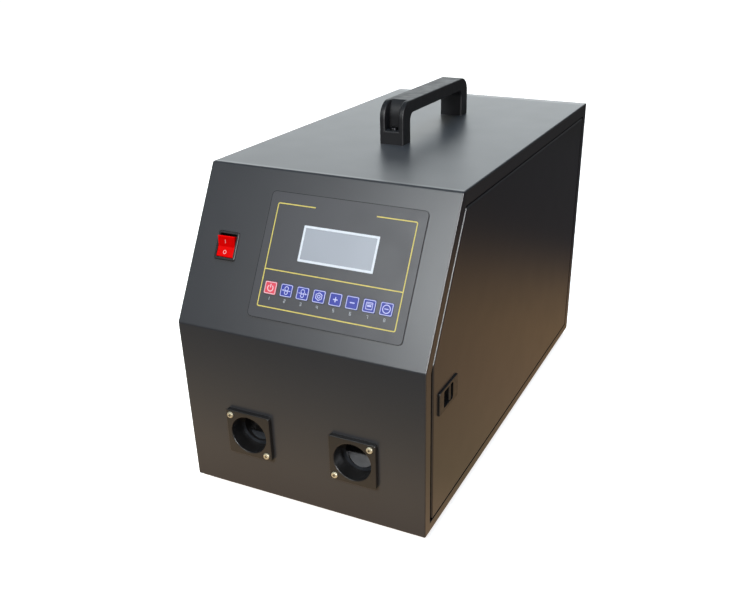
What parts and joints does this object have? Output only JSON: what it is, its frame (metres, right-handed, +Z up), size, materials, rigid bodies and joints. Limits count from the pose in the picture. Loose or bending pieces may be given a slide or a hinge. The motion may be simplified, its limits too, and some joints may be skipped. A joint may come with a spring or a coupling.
{
  "type": "wire feeder",
  "caption": "Bench wire feeder in a powder-coated sheet-metal case with sloped key panel, carry handle, port sockets, side door, wire spool and geared drive rolls.",
  "frame": {"origin": "centre of the whole object's box at the plane its feet stand on", "axes": "+Z up, the front with the port sockets faces -Y, the door side faces +X"},
  "size_m": [0.284, 0.564, 0.3915],
  "materials": {
    "powder": "satin black powder coat",
    "handle_plastic": "fine-grained black moulding",
    "socket_plastic": "glossy black moulding",
    "switch_plastic": "semi-gloss black moulding",
    "rocker_red": "gloss red moulding",
    "overlay_film": "fine-textured membrane film",
    "lcd_glass": "display window",
    "key_blue": "printed film key",
    "key_red": "printed film key",
    "zinc_yellow": "yellow zinc plated",
    "black_screw": "black oxide",
    "rubber_black": "soft black rubber",
    "zinc_plate": "zinc plated sheet",
    "steel": "ground steel",
    "aluminium": "machined",
    "brass": "turned",
    "motor_black": "black enamel",
    "board_green": "solder mask",
    "hub_plastic": "black nylon",
    "spool_plastic": "black spool plastic",
    "wire_metal": "copper-coated wire",
    "nut_plastic": "red nylon",
    "latch_plastic": "black moulding"
  },
  "bodies": {
    "cabinet": {"base_tray": "powder", "front_shell": "powder", "side_frame_front": "powder", "top_cover": "powder", "left_panel": "powder", "rear_panel": "powder", "divider_plate": "zinc_plate", "panel_screws": "black_screw", "port_screws": "zinc_yellow", "foot_pads": "rubber_black", "foot_screws": "steel", "carry_handle": "handle_plastic", "handle_screws": "black_screw", "port_socket_left": "socket_plastic", "port_socket_right": "socket_plastic", "panel_overlay": "overlay_film", "lcd_window": "lcd_glass", "display_board": "board_green", "switch_bezel": "switch_plastic", "drive_plate": "aluminium", "drive_pins": "steel", "outlet_guide": "brass", "inlet_guide": "brass", "gearmotor": "motor_black", "spool_axle": "steel", "power_supply": "zinc_plate", "control_board": "board_green", "fan_frame": "motor_black", "power_inlet": "switch_plastic", "control_socket": "steel", "hinge_halves_fixed": "steel"},
    "door": {"door_panel": "powder", "hinge_halves_door": "steel", "latch_bezel": "latch_plastic"},
    "latch": {"latch_slider": "latch_plastic"},
    "rocker": {"switch_rocker": "rocker_red"},
    "motor_rotor": {"motor_pinion": "steel"},
    "front_feed_roll": {"feed_roll_front": "steel", "roll_cap_front": "hub_plastic"},
    "rear_feed_roll": {"feed_roll_rear": "steel", "roll_cap_rear": "hub_plastic"},
    "arm": {"pressure_arm": "aluminium"},
    "front_idler": {"idler_roll_front": "steel"},
    "rear_idler": {"idler_roll_rear": "steel"},
    "tension_lever": {"tension_rod": "steel", "tension_spring": "steel"},
    "tension_dial": {"tension_knob": "nut_plastic"},
    "spool": {"spool_hub": "hub_plastic", "wire_spool": "spool_plastic", "wire_coil": "wire_metal", "hub_nut": "nut_plastic"},
    "fan": {"fan_rotor": "hub_plastic"},
    "key_power_pad": {"key_power": "key_red"},
    "key_forward_pad": {"key_forward": "key_blue"},
    "key_retract_pad": {"key_retract": "key_blue"},
    "key_set_pad": {"key_set": "key_blue"},
    "key_plus_pad": {"key_plus": "key_blue"},
    "key_minus_pad": {"key_minus": "key_blue"},
    "key_display_pad": {"key_display": "key_blue"},
    "key_gas_pad": {"key_gas": "key_blue"}
  },
  "joints": [
    {"name": "door_hinge", "type": "hinge", "parent": "cabinet", "child": "door", "pos_m": [0.1357, 0.2515, 0.178], "axis": [0, 0, 1], "range_deg": [0, 90]},
    {"name": "latch_slide", "type": "slide", "parent": "door", "child": "latch", "axis": [0, 1, 0], "range_m": [0, 0.004], "stiffness_N_per_m": 200, "springref_m": -0.01},
    {"name": "rocker_tilt", "type": "hinge", "parent": "cabinet", "child": "rocker", "pos_m": [-0.1, -0.2279, 0.27066], "axis": [-1, 0, 0], "range_deg": [0, 26]},
    {"name": "motor_spin", "type": "hinge", "parent": "cabinet", "child": "motor_rotor", "pos_m": [0.0501, -0.154, 0.04945], "axis": [1, 0, 0], "continuous": true},
    {"name": "front_roll_spin", "type": "hinge", "parent": "cabinet", "child": "front_feed_roll", "pos_m": [0.0619, -0.175, 0.0672], "axis": [1, 0, 0], "continuous": true},
    {"name": "rear_roll_spin", "type": "hinge", "parent": "cabinet", "child": "rear_feed_roll", "pos_m": [0.0619, -0.133, 0.0672], "axis": [1, 0, 0], "continuous": true},
    {"name": "arm_lift", "type": "hinge", "parent": "cabinet", "child": "arm", "pos_m": [0.0511, -0.103, 0.0989], "axis": [-1, 0, 0], "range_deg": [0, 45]},
    {"name": "front_idler_spin", "type": "hinge", "parent": "arm", "child": "front_idler", "pos_m": [0.0619, -0.175, 0.0979], "axis": [1, 0, 0], "continuous": true},
    {"name": "rear_idler_spin", "type": "hinge", "parent": "arm", "child": "rear_idler", "pos_m": [0.0619, -0.133, 0.0979], "axis": [1, 0, 0], "continuous": true},
    {"name": "tension_swing", "type": "hinge", "parent": "cabinet", "child": "tension_lever", "pos_m": [0.0513, -0.203, 0.0569], "axis": [-1, 0, 0], "range_deg": [0, 30]},
    {"name": "tension_turn", "type": "hinge", "parent": "tension_lever", "child": "tension_dial", "pos_m": [0.0513, -0.2405, 0.12185], "axis": [0, -0.5, 0.866], "continuous": true},
    {"name": "spool_spin", "type": "hinge", "parent": "cabinet", "child": "spool", "pos_m": [0.0702, 0.097, 0.18], "axis": [1, 0, 0], "continuous": true},
    {"name": "fan_spin", "type": "hinge", "parent": "cabinet", "child": "fan", "pos_m": [-0.0718, 0.255, 0.27], "axis": [0, 1, 0], "continuous": true},
    {"name": "key_power_press", "type": "slide", "parent": "cabinet", "child": "key_power_pad", "axis": [0, 0.8634, -0.5046], "range_m": [0, 0.0004], "stiffness_N_per_m": 400, "springref_m": -0.001},
    {"name": "key_forward_press", "type": "slide", "parent": "cabinet", "child": "key_forward_pad", "axis": [0, 0.8634, -0.5046], "range_m": [0, 0.0004], "stiffness_N_per_m": 400, "springref_m": -0.001},
    {"name": "key_retract_press", "type": "slide", "parent": "cabinet", "child": "key_retract_pad", "axis": [0, 0.8634, -0.5046], "range_m": [0, 0.0004], "stiffness_N_per_m": 400, "springref_m": -0.001},
    {"name": "key_set_press", "type": "slide", "parent": "cabinet", "child": "key_set_pad", "axis": [0, 0.8634, -0.5046], "range_m": [0, 0.0004], "stiffness_N_per_m": 400, "springref_m": -0.001},
    {"name": "key_plus_press", "type": "slide", "parent": "cabinet", "child": "key_plus_pad", "axis": [0, 0.8634, -0.5046], "range_m": [0, 0.0004], "stiffness_N_per_m": 400, "springref_m": -0.001},
    {"name": "key_minus_press", "type": "slide", "parent": "cabinet", "child": "key_minus_pad", "axis": [0, 0.8634, -0.5046], "range_m": [0, 0.0004], "stiffness_N_per_m": 400, "springref_m": -0.001},
    {"name": "key_display_press", "type": "slide", "parent": "cabinet", "child": "key_display_pad", "axis": [0, 0.8634, -0.5046], "range_m": [0, 0.0004], "stiffness_N_per_m": 400, "springref_m": -0.001},
    {"name": "key_gas_press", "type": "slide", "parent": "cabinet", "child": "key_gas_pad", "axis": [0, 0.8634, -0.5046], "range_m": [0, 0.0004], "stiffness_N_per_m": 400, "springref_m": -0.001}
  ],
  "couplings": [
    {"joint": "rear_roll_spin", "follows": "front_roll_spin", "ratio": 1},
    {"joint": "motor_spin", "follows": "front_roll_spin", "ratio": -1.75}
  ]
}
